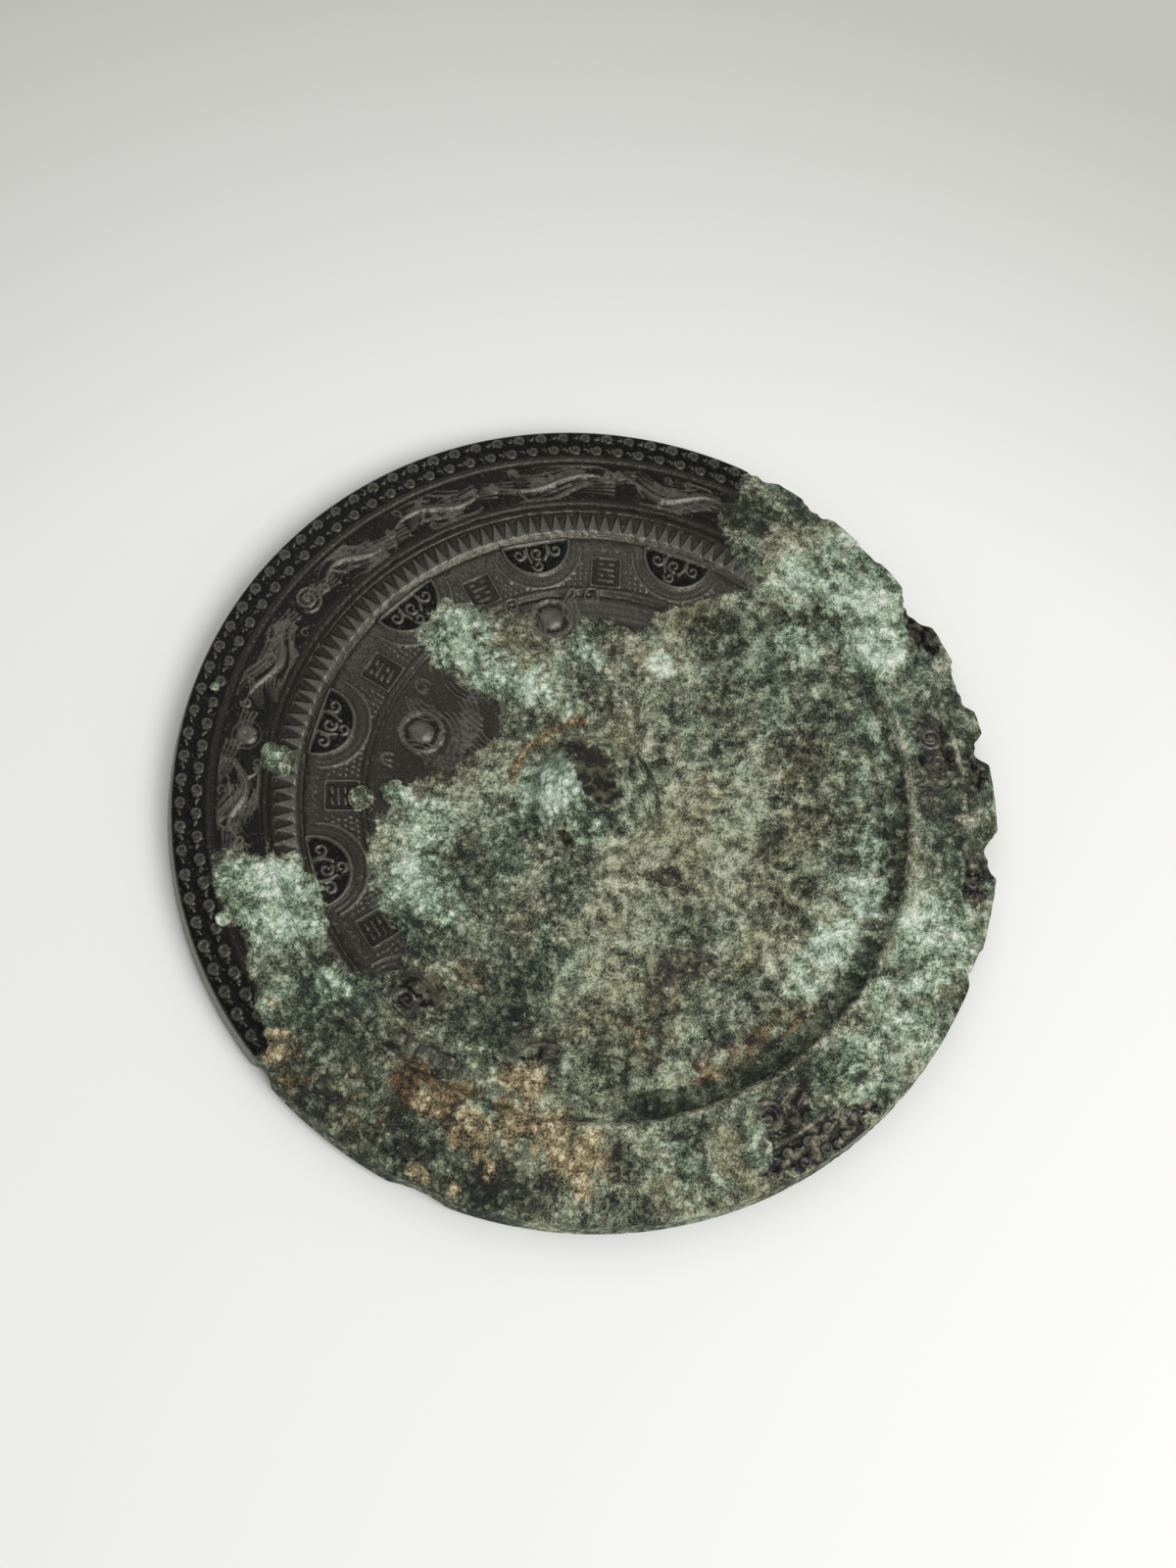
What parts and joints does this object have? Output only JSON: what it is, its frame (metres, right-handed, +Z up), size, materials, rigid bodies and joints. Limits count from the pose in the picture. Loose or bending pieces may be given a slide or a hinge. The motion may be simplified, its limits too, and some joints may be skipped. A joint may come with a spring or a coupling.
{
  "type": "ancient bronze mirror",
  "caption": "Round cast-bronze hand mirror lying on its polished face, with a relief-decorated back, bevelled rim, pierced centre knob and patchy green corrosion.",
  "frame": {"origin": "centre of the small flat at the middle of the convex reflecting face, which the mirror rests on", "axes": "+Z up through the knob, square to the disc; +Y towards the far edge as pictured; +X to the right"},
  "size_m": [0.137, 0.137, 0.0097],
  "materials": {
    "bronze": "corroded"
  },
  "bodies": {
    "root": {"bronze_mirror": "bronze"}
  },
  "joints": []
}
